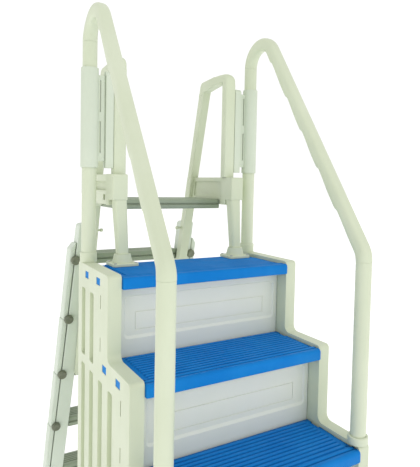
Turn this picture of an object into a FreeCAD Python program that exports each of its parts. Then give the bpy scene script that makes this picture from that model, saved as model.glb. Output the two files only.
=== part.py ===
import FreeCAD, Part
import math
import os

# Pool entry ladder: a five-level in-pool stair with two handrails, a frame that hooks over the pool
# wall with a platform, and an outside step section that lifts on guide rails and is locked by pins.
# Millimetres. X is across, +Y points out of the pool, +Z is up, z = 0 is the ground.
# While modelling, y = 0 is the front edge of the stair's top level; export() moves every piece so
# that the origin is the middle of the whole object's footprint.

# ---------------------------------------------------------------- driving dimensions
LEVELS = 5                      # stair levels
RISE = 254.0                    # height of one level
RUN = 184.0                     # front edge to front edge
TOP_DEPTH = 310.0               # depth of the top level
CLEAR = 617.0                   # width between the side panels
PANEL = 42.5                    # side panel thickness
SKIN = 5.0                      # moulded wall thickness
PAD = 6.0                       # rubber base pad
DECK = LEVELS * RISE            # height of the top level

TREAD_DROP = 8.0                # stair tread surface below the panel edge
TREAD_H = 36.0                  # stair tread thickness
NOSE = 12.0                     # stair tread nose in front of the panel edge
TAB_Y = (92.0, 212.0)           # tread tab centres behind the level's front edge
TAB_W, TAB_H = 36.0, 22.0
RISER_SETBACK = 52.0
RISER_T = 14.0

FLUTE_PITCH, FLUTE_W, FLUTE_DEEP = 91.5, 40.0, 13.0
FLUTE_FIRST = 248.0             # centre of the rearmost flute

RAIL_X = 326.0                  # handrail plane
POST_D, POST_WALL = 48.0, 5.0
BACK_Y, FRONT_Y = 282.0, -345.0
ARCH_Z = DECK + 737.0           # joint of back post and arch
ARCH_R = 79.0
DIAG = 0.68                     # handrail lean, y per z
KNEE_R = 70.0
KNEE_Z = DECK + 48.0            # joint of handrail and front post
RAIL_W, RAIL_T = 42.0, 48.0     # handrail section
FRONT_SEAT = DECK - 2 * RISE    # the front post stands on the third level

SLEEVE_D = 58.0
SLEEVE_Z = (DECK + 320.0, DECK + 652.0)
UPRIGHT_X = 223.5
UPRIGHT_W, UPRIGHT_T = 45.0, 34.0

LEAN = 0.27                     # guide rails, y per z
GUIDE_X, GUIDE_W, GUIDE_T = 214.0, 38.0, 36.0
GUIDE_Y = 543.0                 # guide centre line at GUIDE_REF
GUIDE_REF = DECK + 334.0
GUIDE_FOOT = DECK - 585.0
HANDLE_TOP = DECK + 690.0
SLIDE_GAP = 4.0                 # between guide and step rail

BRACKET_Z = (DECK + 178.0, DECK + 300.0)
BRACKET_FRONT = 224.0
BRACKET_X = (211.0, 247.0)
HOUSING_X = (209.5, 262.0)      # front block of the bracket, under the upright
PLATFORM_TOP, PLATFORM_H = DECK + 214.0, 38.0
PLATFORM_Y = (314.0, 524.0)
PLATFORM_HALF = 210.0
FLANGE_X, FLANGE_Y = 228.0, 220.0

STEP_PITCH = 264.0
STEPS = 5
STEP_Z = DECK - 54.0            # knob centre on the uppermost outside step
SEAM_X = 267.6                  # outer face of the step rail at STEP_Z
FLARE = 0.0345                  # step rails spread towards the ground
STEP_RAIL_W, STEP_RAIL_T = 57.0, 60.0
STEP_RAIL_TOP = DECK + 100.0
STEP_DEPTH, STEP_H = 112.0, 45.0
COVER_W = 27.0
FOOT_H = 30.0

LIFT = 400.0                    # travel of the outside step section
KEY_X = 224.0                   # sliding key, on both step rails
PIN_D = 9.0

HALF = CLEAR / 2
LEAN_ANGLE = math.degrees(math.atan(LEAN))
LEAN_LEN = math.hypot(1.0, LEAN)


def guide_y(z):
    """Centre line of the guide rail and the grab loop's rear tube."""
    return GUIDE_Y + LEAN * (GUIDE_REF - z)


def step_front(z):
    """Front plane of the outside step rails and treads."""
    return guide_y(z) + GUIDE_T / 2 + SLIDE_GAP


def seam_x(z):
    """Outer face of the outside step rail."""
    return SEAM_X + FLARE * (STEP_Z - z)


def step_place(i):
    """Height of the knob and middle of outside step i, counted from the top."""
    return STEP_Z - STEP_PITCH * i


def step_span(i):
    """Low, high, front and rear of outside step i."""
    high = step_place(i) + 23
    low = high - STEP_H
    front = step_front(low) + 0.5
    return low, high, front, front + STEP_DEPTH


FRONT = -(LEVELS - 1) * RUN - NOSE
REAR = step_span(STEPS - 1)[3]
CENTRE_Y = (FRONT + REAR) / 2


# ---------------------------------------------------------------- helpers
def vec(x, y, z):
    return FreeCAD.Vector(x, y, z)


def box(x0, x1, y0, y1, z0, z1):
    return Part.makeBox(x1 - x0, y1 - y0, z1 - z0, vec(x0, y0, z0))


def rod(diameter, start, end):
    a, b = vec(*start), vec(*end)
    return Part.makeCylinder(diameter / 2, (b - a).Length, a, b - a)


def outline(points):
    """Closed wire in the YZ plane from (y, z, corner radius) points."""
    count = len(points)
    places = [vec(0, y, z) for y, z, r in points]
    starts, ends, arcs = [], [], []
    for i, (y, z, r) in enumerate(points):
        here = places[i]
        back = (places[i - 1] - here).normalize()
        ahead = (places[(i + 1) % count] - here).normalize()
        if r <= 0:
            starts.append(here)
            ends.append(here)
            arcs.append(None)
            continue
        half = back.getAngle(ahead) / 2
        reach = r / math.tan(half)
        bisector = (back + ahead).normalize()
        middle = here + bisector * (r / math.sin(half) - r)
        starts.append(here + back * reach)
        ends.append(here + ahead * reach)
        arcs.append(Part.Arc(starts[-1], middle, ends[-1]).toShape())
    edges = []
    for i in range(count):
        if arcs[i]:
            edges.append(arcs[i])
        after = starts[(i + 1) % count]
        if (after - ends[i]).Length > 0.001:
            edges.append(Part.LineSegment(ends[i], after).toShape())
    return Part.Wire(edges)


def slab(points, x0, x1):
    """Outline extruded across the object from x0 to x1."""
    face = Part.Face(outline(points))
    face.translate(vec(x0, 0, 0))
    return face.extrude(vec(x1 - x0, 0, 0))


def sloping(x0, x1, y0, y1, z0, z1, lean, flare=0.0):
    """Bar with level ends; x and y ranges are given at z0, and drift by flare and lean per z."""
    corners = [vec(x0, y0, z0), vec(x1, y0, z0), vec(x1, y1, z0), vec(x0, y1, z0)]
    base = Part.Face(Part.makePolygon(corners + corners[:1]))
    rise = z1 - z0
    return base.extrude(vec(-flare * rise, -lean * rise, rise))


def rounded(shape, radius, keep):
    """Fillet the edges whose middle point and direction pass the test."""
    chosen = []
    for edge in shape.Edges:
        middle = edge.valueAt((edge.FirstParameter + edge.LastParameter) / 2)
        if keep(edge, middle):
            chosen.append(edge)
    return shape.makeFillet(radius, chosen)


def along(edge, axis):
    """True for a straight edge along the unit axis."""
    if not isinstance(edge.Curve, (Part.Line, Part.LineSegment)):
        return False
    return abs(edge.tangentAt(edge.FirstParameter).dot(axis)) > 0.99


AX, AY, AZ = vec(1, 0, 0), vec(0, 1, 0), vec(0, 0, 1)


def mirror(shape):
    return shape.mirror(vec(0, 0, 0), AX)


def export(name, shape):
    moved = shape.copy()
    moved.translate(vec(0, -CENTRE_Y, 0))
    if not moved.isValid():
        raise ValueError(name + " is not a valid shape")
    moved.exportStep("parts/" + name + ".step")


def export_pair(name, right):
    export(name + "_right", right)
    export(name + "_left", mirror(right))


# ---------------------------------------------------------------- in-pool stair
def level_front(i):
    return -RUN * i


def level_top(i):
    return DECK - RISE * i


def panel_points(inset):
    """Stepped side outline, drawn in by inset."""
    points = [(TOP_DEPTH - inset, PAD + inset, 6), (TOP_DEPTH - inset, DECK - inset, 10)]
    for i in range(LEVELS):
        y = level_front(i) + inset
        points.append((y, level_top(i) - inset, 12))
        if i < LEVELS - 1:
            points.append((y, level_top(i + 1) - inset, 22))
    points.append((level_front(LEVELS - 1) + inset, PAD + inset, 6))
    return points


def flute_ranges():
    """(centre y, low z, high z) of every recessed flute on the outer face."""
    flutes = []
    for column in range(2 * LEVELS):
        first = column // 2
        y = FLUTE_FIRST - FLUTE_PITCH * column
        high = level_top(first) - 80
        if first == 0:
            flutes.append((y, level_top(1) - 51, high))
            high = level_top(1) - 80
        if first <= 2:
            flutes.append((y, level_top(3) - 51, high))
            high = level_top(3) - 80
        flutes.append((y, PAD + 34, high))
    return flutes


def side_panel():
    """Hollow moulding with outer flutes, drain slots and tread sockets; x runs from 0 outward."""
    shell = slab(panel_points(0), 0, PANEL)
    shell = rounded(shell, 4, lambda e, m: abs(m.x - PANEL) < 0.01 or abs(m.x) < 0.01)
    hollow = slab(panel_points(SKIN), SKIN, PANEL - SKIN)
    for y, low, high in flute_ranges():
        flute = box(PANEL - FLUTE_DEEP, PANEL + 1, y - FLUTE_W / 2, y + FLUTE_W / 2, low, high)
        flute = rounded(flute, 8, lambda e, m: along(e, AX))
        shell = shell.cut(flute)
        around = box(PANEL - FLUTE_DEEP - SKIN, PANEL, y - FLUTE_W / 2 - SKIN,
                     y + FLUTE_W / 2 + SKIN, low - SKIN, high + SKIN)
        hollow = hollow.cut(around)
    shell = shell.cut(hollow)
    for i in range(LEVELS):
        y, top = level_front(i), level_top(i)
        for tab in TAB_Y:
            shell = shell.cut(box(-1, PANEL + 1, y + tab - TAB_W / 2 - 0.5, y + tab + TAB_W / 2 + 0.5,
                                  top - 43.5, top - 43.5 + TAB_H + 1))
        for low in (top - 112, top - 243):
            shell = shell.cut(box(PANEL - 2 * SKIN, PANEL + 1, y + 64, y + 70, low, low + 43))
    seats = [(BACK_Y, DECK), (FRONT_Y, FRONT_SEAT)]
    for y, z in seats:
        shell = shell.cut(rod(30.6, (PANEL / 2, y, z - 3 * SKIN), (PANEL / 2, y, z + 1)))
    return shell


def stair_tread(i):
    """Hollow ribbed blue tread with a rounded nose and four side tabs."""
    rear = level_front(i) + (262 if i == 0 else RUN + RISER_SETBACK - 1)
    front, top = level_front(i) - NOSE, level_top(i) - TREAD_DROP
    half = HALF - 1
    body = box(-half, half, front, rear, top - TREAD_H, top)
    body = rounded(body, 11, lambda e, m: along(e, AX) and abs(m.y - front) < 1 and abs(m.z - top) < 1)
    body = rounded(body, 5, lambda e, m: along(e, AX) and m.y < front + 1 and m.z < top - TREAD_H + 1)
    bays = 4
    width = (2 * half - SKIN) / bays
    for bay in range(bays):
        x0 = -half + SKIN + bay * width
        body = body.cut(box(x0, x0 + width - SKIN, front + 14, rear - SKIN,
                            top - TREAD_H + SKIN, top - 8))
    count = 10
    pitch = (rear - front - 46) / (count - 1)
    for groove in range(count):
        y = front + 24 + groove * pitch
        body = body.cut(box(-half + 22, half - 22, y, y + 6, top - 3, top + 1))
    for side in (-1, 1):
        for tab in TAB_Y:
            y = level_front(i) + tab
            z = level_top(i) - 43
            x0, x1 = sorted((side * (half - SKIN), side * (HALF + PANEL - 1)))
            body = body.fuse(box(x0, x1, y - TAB_W / 2, y + TAB_W / 2, z, z + TAB_H))
    return body.removeSplitter()


def riser(i):
    """Riser board with a long raised frame around a recessed field."""
    front = level_front(i) + RISER_SETBACK
    top = level_top(i) - TREAD_DROP - TREAD_H - 0.5
    low = level_top(i + 1) - TREAD_DROP - TREAD_H - 0.5 if i < LEVELS - 1 else PAD + 4
    half = HALF - 1.5
    board = box(-half, half, front, front + RISER_T, low, top)
    board = board.cut(box(-half + SKIN, half - SKIN, front + SKIN, front + RISER_T + 1, low + 6, top - 6))
    field_low = top - 160
    board = board.cut(box(-half + 26, half - 14, front - 1, front + 1.5, field_low, top - 34))
    board = board.cut(box(-half + 62, half - 60, front - 1, front + 3, field_low + 16, top - 84))
    for x in range(-200, 201, 100):
        board = board.fuse(box(x - 2, x + 2, front + SKIN - 1, front + RISER_T, low + 2, top - 2))
    return board.removeSplitter()


def cross_brace(z):
    """Rear tie tube between the side panels."""
    half = HALF - 0.5
    y = TOP_DEPTH - 45
    tube = rod(42, (-half, y, z), (half, y, z))
    return tube.cut(rod(34, (-half + 6, y, z), (half - 6, y, z)))


def base_pads():
    """Two ribbed rubber strips under the side panels."""
    front = level_front(LEVELS - 1) + 4
    strip = box(HALF + 1, HALF + PANEL - 1, front, TOP_DEPTH - 4, 0, PAD)
    return Part.makeCompound([strip, mirror(strip)])


# ---------------------------------------------------------------- handrails
def rail_section(width, thick, corner):
    """Rounded face lying flat where the handrail starts on the back post."""
    x0, x1 = RAIL_X - width / 2, RAIL_X + width / 2
    y0, y1 = BACK_Y - thick / 2, BACK_Y + thick / 2
    plate = box(x0, x1, y0, y1, ARCH_Z, ARCH_Z + 100)
    plate = rounded(plate, corner, lambda e, m: along(e, AZ))
    for face in plate.Faces:
        if abs(face.CenterOfMass.z - ARCH_Z) < 0.001:
            return face
    raise ValueError("no section face")


def rail_sweep(section):
    """Carries a section along the handrail: arch, straight grip, knee and a short upright end."""
    length = math.hypot(1, DIAG)
    out = vec(0, -1 / length, DIAG / length)          # square to the grip, up and forward
    down = vec(0, -DIAG / length, -1 / length)        # along the grip
    centre = vec(RAIL_X, BACK_Y - ARCH_R, ARCH_Z)
    sweep = math.degrees(vec(0, 1, 0).getAngle(out))
    turn = math.degrees(down.getAngle(vec(0, 0, -1)))
    leave = centre + out * ARCH_R
    corner = leave + down * ((FRONT_Y - leave.y) / down.y)
    tangent = KNEE_R * math.tan(math.radians(turn) / 2)
    knee_in = corner - down * tangent
    knee_centre = knee_in - out * KNEE_R

    arch = section.revolve(centre, AX, sweep)
    section = section.copy()
    section.rotate(centre, AX, sweep)
    grip = section.extrude(knee_in - leave)
    section.translate(knee_in - leave)
    knee = section.revolve(knee_centre, AX, turn)
    section.rotate(knee_centre, AX, turn)
    end = section.extrude(vec(0, 0, KNEE_Z - corner.z + tangent))
    return arch.fuse([grip, knee, end]).removeSplitter()


def handrail():
    outer = rail_sweep(rail_section(RAIL_W, RAIL_T, 17))
    inner = rail_sweep(rail_section(RAIL_W - 2 * SKIN, RAIL_T - 2 * SKIN, 12))
    return outer.cut(inner)


def post(y, low, high):
    bore = POST_D - 2 * POST_WALL
    tube = rod(POST_D, (RAIL_X, y, low), (RAIL_X, y, high))
    return tube.cut(rod(bore, (RAIL_X, y, low - 1), (RAIL_X, y, high + 1)))


def post_socket(y, seat, diameter, height):
    """Collar on the panel edge with a spigot up inside the post and a plug down into the panel."""
    bore = POST_D - 2 * POST_WALL
    x = HALF + PANEL / 2
    cup = rod(diameter, (RAIL_X, y, seat), (RAIL_X, y, seat + height))
    cup = rounded(cup, 4, lambda e, m: abs(e.BoundBox.ZMin - seat - height) < 0.01)
    cup = cup.cut(rod(POST_D + 0.4, (RAIL_X, y, seat + 6), (RAIL_X, y, seat + height + 1)))
    spigot = rod(bore - 0.6, (RAIL_X, y, seat + 2), (RAIL_X, y, seat + height + 45))
    plug = rod(30, (x, y, seat - 2 * SKIN), (x, y, seat + 3))
    return cup.fuse([spigot, plug]).removeSplitter()


# ---------------------------------------------------------------- frame over the pool wall
def connector_sleeve():
    """Clamp sleeve on the back post with a slotted web towards the ladder frame."""
    low, high = SLEEVE_Z
    bore = POST_D + 0.6
    web_low, web_high = low + 23, high - 20
    web = box(276, RAIL_X, BACK_Y - 6, BACK_Y + 6, web_low, web_high)
    key = box(262, 277, BACK_Y - 4, BACK_Y + 4, web_low, web_high)
    sleeve = rod(SLEEVE_D, (RAIL_X, BACK_Y, low), (RAIL_X, BACK_Y, high)).fuse([web, key])
    sleeve = sleeve.cut(rod(bore, (RAIL_X, BACK_Y, low - 1), (RAIL_X, BACK_Y, high + 1)))
    for z in (DECK + 370, DECK + 509):
        sleeve = sleeve.cut(box(289, 294, BACK_Y - 10, BACK_Y + 10, z, z + 107))
    return sleeve.removeSplitter()


def slide_channel():
    """Upright channel that takes the web's key, with a rounded top, bolted to the upright."""
    low, high = SLEEVE_Z[0], DECK + 648
    inner = UPRIGHT_X + UPRIGHT_W / 2 + 0.5
    channel = box(inner, 274, BACK_Y - 15, BACK_Y + 15, low, high)
    channel = rounded(channel, 13, lambda e, m: along(e, AX) and m.z > high - 1)
    return channel.cut(box(260, 275, BACK_Y - 4.6, BACK_Y + 4.6, low - 1, high - 14))


def upright():
    """Near upright of the frame, a box tube between bracket and elbow."""
    low, high = BRACKET_Z[1], DECK + 663
    x0, x1 = UPRIGHT_X - UPRIGHT_W / 2, UPRIGHT_X + UPRIGHT_W / 2
    y0, y1 = BACK_Y - UPRIGHT_T / 2, BACK_Y + UPRIGHT_T / 2
    tube = rounded(box(x0, x1, y0, y1, low, high), 7, lambda e, m: along(e, AZ))
    return tube.cut(box(x0 + 4, x1 - 4, y0 + 4, y1 - 4, low - 1, high + 1))


def corner_elbow():
    """Top corner of the grab loop above the upright."""
    low, y1 = DECK + 663, 355
    y0 = BACK_Y - UPRIGHT_T / 2
    points = [(y0, low, 0), (y0, HANDLE_TOP + 18, 22), (y1, HANDLE_TOP + 14, 0),
              (y1, HANDLE_TOP - 22, 0), (y0 + UPRIGHT_T, HANDLE_TOP - 24, 4), (y0 + UPRIGHT_T, low, 0)]
    x0, x1 = UPRIGHT_X - UPRIGHT_W / 2, UPRIGHT_X + UPRIGHT_W / 2
    elbow = slab(points, x0, x1)
    return rounded(elbow, 6, lambda e, m: (abs(m.x - x0) < 0.01 or abs(m.x - x1) < 0.01)
                   and m.z > low + 1 and m.y < y1 - 1)


def grab_handle():
    """Top bar and rear tube of the grab loop, with the keyway along its rear face."""
    y1 = 355
    top_front, top_rear = HANDLE_TOP + 14, HANDLE_TOP + 6
    low = BRACKET_Z[1]
    half = GUIDE_T / 2
    rear_y = guide_y(top_rear) + half
    points = [(y1, top_front, 0), (rear_y, top_rear, 24), (guide_y(low) + half, low, 0),
              (guide_y(low) - half, low, 0), (guide_y(top_rear - 36) - half, top_rear - 40, 8),
              (y1, top_front - 36, 0)]
    x0, x1 = GUIDE_X - GUIDE_W / 2, GUIDE_X + GUIDE_W / 2
    loop = slab(points, x0, x1)
    loop = rounded(loop, 6, lambda e, m: (abs(m.x - x0) < 0.01 or abs(m.x - x1) < 0.01)
                   and m.z > low + 1 and m.y > y1 + 1)
    return loop.cut(keyway(low - 1, HANDLE_TOP - 60))


def keyway(low, high):
    """T-slot along the rear face of guide rail, bracket and grab loop."""
    face = guide_y(low) + GUIDE_T / 2
    neck = sloping(KEY_X - 5, KEY_X + 5, face - 5, face + 30, low, high, LEAN)
    head = sloping(KEY_X - 8, KEY_X + 8, face - 13, face - 4, low, high, LEAN)
    return neck.fuse(head)


def platform_bracket():
    """Side bracket: a beam from the near leg to the clamp on the guide rail, carrying the platform."""
    low, high = BRACKET_Z
    x0, x1 = BRACKET_X
    rear_high = guide_y(high) + GUIDE_T / 2
    rear_low = guide_y(low) + GUIDE_T / 2
    block_rear = BACK_Y + UPRIGHT_T / 2 + 2
    points = [(block_rear - 20, high, 0), (rear_high, high, 4), (rear_low, low, 4),
              (rear_low - 90, low, 8), (rear_low - 130, low + 14, 8), (block_rear - 20, low + 14, 0)]
    beam = slab(points, x0, x1)
    beam = rounded(beam, 3, lambda e, m: abs(m.x - x0) < 0.01 or abs(m.x - x1) < 0.01)
    field = [(block_rear + 6, high - 16, 5), (rear_high - 46, high - 16, 5),
             (rear_high - 36, PLATFORM_TOP + 6, 5), (block_rear + 6, PLATFORM_TOP + 6, 5)]
    beam = beam.cut(slab(field, x0 - 1, x0 + 5))
    pocket = [(block_rear + 8, high - 24, 6), (rear_high - 46, high - 24, 6),
              (rear_high - 38, high - 58, 6), (block_rear + 8, high - 58, 6)]
    beam = beam.cut(slab(pocket, x0 + 18, x1 + 1))
    latch = box(x0 + 20, x1 + 1, 352, 374, low + 30, low + 50)
    beam = beam.cut(latch)
    clamp_x = GUIDE_X - GUIDE_W / 2
    clamp_y = guide_y(low)
    clamp = sloping(clamp_x, x1, clamp_y - GUIDE_T / 2 - 5, clamp_y + GUIDE_T / 2, low, high, LEAN)
    clamp = rounded(clamp, 4, lambda e, m: e.BoundBox.ZLength > 100)
    front = [(BRACKET_FRONT, high, 6), (block_rear, high, 3), (block_rear, low + 14, 3),
             (BRACKET_FRONT + 50, low + 14, 3), (BRACKET_FRONT + 46, low + 34, 3),
             (BRACKET_FRONT, low + 34, 3)]
    block = slab(front, *HOUSING_X)
    block = rounded(block, 2.5, lambda e, m: abs(m.x - HOUSING_X[0]) < 0.01
                    or abs(m.x - HOUSING_X[1]) < 0.01)
    return beam.fuse([clamp, block]).removeSplitter().cut(keyway(low - 1, high + 1))


def deck_leg():
    """Tapered leg from the bracket down to the deck flange."""
    low, high = DECK + 30, BRACKET_Z[0] + 34
    top = [vec(x, y, high) for x, y in ((210, 225), (254, 225), (254, 268), (210, 268))]
    foot = [vec(x, y, low) for x, y in ((210, 203), (247, 203), (247, 240), (210, 240))]
    wires = [Part.makePolygon(ring + ring[:1]) for ring in (foot, top)]
    leg = Part.makeLoft(wires, True, True)
    slanted = [e for e in leg.Edges if e.BoundBox.ZLength > 50]
    return leg.makeFillet(9, slanted)


def deck_flange():
    """Square foot with a domed hub, screwed to the top tread by four screws."""
    x, y = FLANGE_X, FLANGE_Y
    seat = DECK - TREAD_DROP
    plate = box(x - 45, x + 45, y - 44, y + 44, seat, seat + 9)
    plate = rounded(plate, 10, lambda e, m: along(e, AZ))
    plate = rounded(plate, 3, lambda e, m: m.z > seat + 8.9)
    hub = Part.makeCone(35, 27, 30, vec(x, y, seat + 8), AZ)
    flange = plate.fuse(hub).removeSplitter()
    for dx in (-36, 36):
        for dy in (-34, 34):
            flange = flange.cut(rod(6, (x + dx, y + dy, seat - 1), (x + dx, y + dy, seat + 12)))
    return flange


def flange_screws():
    """Pan heads of the flange screws."""
    heads = []
    seat = DECK - TREAD_DROP + 9
    for side in (-1, 1):
        for dx in (-36, 36):
            for dy in (-34, 34):
                place = (side * (FLANGE_X + dx), FLANGE_Y + dy)
                head = rod(10, (*place, seat), (*place, seat + 3))
                shank = rod(5, (*place, seat - 9), (*place, seat + 1))
                heads.append(head.fuse(shank).removeSplitter())
    return Part.makeCompound(heads)


def platform():
    """Broad hollow standing tread between the brackets, ribbed on top."""
    y0, y1 = PLATFORM_Y
    top, low = PLATFORM_TOP, PLATFORM_TOP - PLATFORM_H
    half = PLATFORM_HALF
    deck = box(-half, half, y0, y1, low, top)
    deck = rounded(deck, 10, lambda e, m: along(e, AX) and m.z > top - 1)
    deck = rounded(deck, 5, lambda e, m: along(e, AX) and m.z < low + 1)
    bays = 4
    width = (2 * half - SKIN) / bays
    for bay in range(bays):
        x0 = -half + SKIN + bay * width
        deck = deck.cut(box(x0, x0 + width - SKIN, y0 + 12, y1 - 12, low + SKIN, top - 8))
    count = 9
    pitch = (y1 - y0 - 50) / (count - 1)
    for groove in range(count):
        y = y0 + 22 + groove * pitch
        deck = deck.cut(box(-half + 16, half - 16, y, y + 6, top - 2.5, top + 1))
    return deck


def guide_rail():
    """Guide rail below the bracket, with the keyway and a rounded lower end."""
    low, high = GUIDE_FOOT, BRACKET_Z[0]
    y = guide_y(low)
    x0, x1 = GUIDE_X - GUIDE_W / 2, GUIDE_X + GUIDE_W / 2
    rail = sloping(x0, x1, y - GUIDE_T / 2, y + GUIDE_T / 2, low, high, LEAN)
    rail = rounded(rail, 10, lambda e, m: along(e, AX) and m.z < low + 1 and m.y < y)
    rail = rail.cut(keyway(low - 1, high + 1))
    pin_z = key_places()[0]
    pin_y = guide_y(pin_z) + GUIDE_T / 2 - 8.5
    return rail.cut(rod(PIN_D + 0.6, (x0 - 1, pin_y, pin_z), (KEY_X + 5, pin_y, pin_z)))


# ---------------------------------------------------------------- outside step section
def key_places():
    """Heights of the two sliding keys: they share one lock pin at either end of the travel."""
    upper = DECK + 72.0
    return (upper, upper - LIFT / LEAN_LEN)


def step_rail():
    """Main rail of the outside section, spread towards the ground, with its sliding keys."""
    low, high = FOOT_H, STEP_RAIL_TOP
    outer = seam_x(low)
    front = step_front(low)
    rail = sloping(outer - STEP_RAIL_W, outer, front, front + STEP_RAIL_T, low, high, LEAN, FLARE)
    rail = rounded(rail, 14, lambda e, m: m.z > high - 1 and along(e, AY))
    rail = rounded(rail, 4, lambda e, m: e.BoundBox.ZLength > 500)
    floor = low + SKIN
    x1, y0 = seam_x(floor) - SKIN, step_front(floor) + SKIN
    bore = sloping(x1 - STEP_RAIL_W + 2 * SKIN, x1, y0, y0 + STEP_RAIL_T - 2 * SKIN,
                   floor, high - 24, LEAN, FLARE)
    rail = rail.cut(bore)
    for z in key_places():
        face = step_front(z - 24)
        neck = sloping(KEY_X - 4, KEY_X + 4, face - SLIDE_GAP - 5, face + 3, z - 24, z + 24, LEAN)
        head = sloping(KEY_X - 7, KEY_X + 7, face - SLIDE_GAP - 12, face - SLIDE_GAP - 5,
                       z - 24, z + 24, LEAN)
        key = neck.fuse(head)
        pin_y = guide_y(z) + GUIDE_T / 2 - 8.5
        key = key.cut(rod(PIN_D + 0.6, (KEY_X - 20, pin_y, z), (KEY_X + 20, pin_y, z)))
        rail = rail.fuse(key)
    return rail.removeSplitter()


def rail_covers():
    """Hollow outboard cover strips between the step knobs; the uppermost has a sloped corner."""
    strips = []
    for i in range(STEPS - 1):
        high = step_place(i) + (72 if i == 0 else -1)
        low = step_place(i + 1) if i < STEPS - 2 else step_place(i + 1) - 30
        x0 = seam_x(low) + 0.4
        front = step_front(low) + 1
        strip = sloping(x0, x0 + COVER_W, front, front + STEP_RAIL_T - 2, low, high, LEAN, FLARE)
        strip = rounded(strip, 5, lambda e, m: e.BoundBox.ZLength > 100 and m.x > seam_x(m.z) + 9)
        slope = 24 if i == 0 else 0
        if slope:
            corner = sloping(seam_x(high) + COVER_W + 2, seam_x(low) + 3 * COVER_W, front - 300, front + 300,
                             high - slope, high + 1, 0, 0.75)
            strip = strip.cut(corner)
        x1, y1 = seam_x(low + SKIN) + 0.4 + SKIN, step_front(low + SKIN) + 1 + SKIN
        hollow = sloping(x1, x1 + COVER_W - 2 * SKIN, y1, y1 + STEP_RAIL_T - 2 - 2 * SKIN,
                         low + SKIN, high - SKIN - slope, LEAN, FLARE)
        strips.append(strip.cut(hollow))
    return Part.makeCompound(strips)


def ladder_tread(i):
    """Hollow outside tread between the step rails, ribbed on top."""
    low, top, y0, y1 = step_span(i)
    half = seam_x(top) - STEP_RAIL_W - 0.5
    tread = box(-half, half, y0, y1, low, top)
    tread = rounded(tread, 9, lambda e, m: along(e, AX) and m.z > top - 1)
    tread = rounded(tread, 4, lambda e, m: along(e, AX) and m.z < low + 1)
    bays = 4
    width = (2 * half - SKIN) / bays
    for bay in range(bays):
        x0 = -half + SKIN + bay * width
        tread = tread.cut(box(x0, x0 + width - SKIN, y0 + 10, y1 - 8, low + SKIN, top - 8))
    count = 5
    pitch = (y1 - y0 - 44) / (count - 1)
    for groove in range(count):
        y = y0 + 19 + groove * pitch
        tread = tread.cut(box(-half + 16, half - 16, y, y + 6, top - 2.5, top + 1))
    return tread


def step_knobs():
    """Octagonal clamp knobs on the seam of rail and cover, one for each step."""
    knobs = []
    across, height = 38.0, 16.0
    for i in range(STEPS):
        z = step_place(i)
        ring = []
        for corner in range(9):
            angle = math.radians(45 * corner + 22.5)
            radius = across / 2 / math.cos(math.radians(22.5))
            ring.append(vec(radius * math.cos(angle), 0, radius * math.sin(angle)))
        knob = Part.Face(Part.makePolygon(ring)).extrude(vec(0, -height, 0))
        knob = knob.makeChamfer(3, [e for e in knob.Edges if e.BoundBox.YMax < -height + 0.1])
        knob.rotate(vec(0, 0, 0), AX, LEAN_ANGLE)
        knob.translate(vec(seam_x(z) + 0.2, step_front(z) - 0.3, z))
        knobs.append(knob)
    return Part.makeCompound(knobs)


def rail_foot():
    """Rubber shoe under the step rail."""
    outer, front = seam_x(0), step_front(0)
    shoe = sloping(outer - STEP_RAIL_W - 2, outer + 2, front - 2, front + STEP_RAIL_T + 8,
                   0, FOOT_H, LEAN, FLARE)
    return rounded(shoe, 6, lambda e, m: e.BoundBox.ZLength > FOOT_H - 1)


def lock_pin():
    """Spring-free pull pin on the inner side of the guide rail, drawn back from the key."""
    z = key_places()[0]
    y = guide_y(z) + GUIDE_T / 2 - 8.5
    tip = KEY_X - 9
    face = GUIDE_X - GUIDE_W / 2
    shank = rod(PIN_D, (face - 17, y, z), (tip, y, z))
    knob = rod(14, (face - 27, y, z), (face - 15, y, z))
    knob = rounded(knob, 3, lambda e, m: abs(e.BoundBox.XLength) < 0.01)
    return shank.fuse(knob).removeSplitter()


# ---------------------------------------------------------------- build
def build():
    os.makedirs("parts", exist_ok=True)

    panel = side_panel()
    panel.translate(vec(HALF, 0, 0))
    export_pair("side_panel", panel)
    for i in range(LEVELS):
        export("stair_tread_%d" % (i + 1), stair_tread(i))
        export("riser_%d" % (i + 1), riser(i))
    for number, z in enumerate((DECK - 140, 180)):
        export("rear_brace_%d" % (number + 1), cross_brace(z))
    export("base_pads", base_pads())

    export_pair("handrail", handrail())
    export_pair("back_post", post(BACK_Y, DECK + 6, ARCH_Z))
    export_pair("front_post", post(FRONT_Y, FRONT_SEAT + 6, KNEE_Z))
    export_pair("back_socket", post_socket(BACK_Y, DECK, 56, 34))
    export_pair("front_socket", post_socket(FRONT_Y, FRONT_SEAT, 62, 24))

    export_pair("connector_sleeve", connector_sleeve())
    export_pair("slide_channel", slide_channel())
    export_pair("frame_upright", upright())
    export_pair("corner_elbow", corner_elbow())
    export_pair("grab_handle", grab_handle())
    export_pair("platform_bracket", platform_bracket())
    export_pair("deck_leg", deck_leg())
    export_pair("deck_flange", deck_flange())
    export("flange_screws", flange_screws())
    export("platform_tread", platform())
    export_pair("guide_rail", guide_rail())

    export_pair("step_rail", step_rail())
    export_pair("rail_covers", rail_covers())
    for i in range(STEPS):
        export("ladder_tread_%d" % (i + 1), ladder_tread(i))
    export_pair("step_knobs", step_knobs())
    export_pair("rail_foot", rail_foot())
    export_pair("lock_pin", lock_pin())


build()
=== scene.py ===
import math

import bmesh
import bpy
from mathutils import Matrix, Vector


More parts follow.
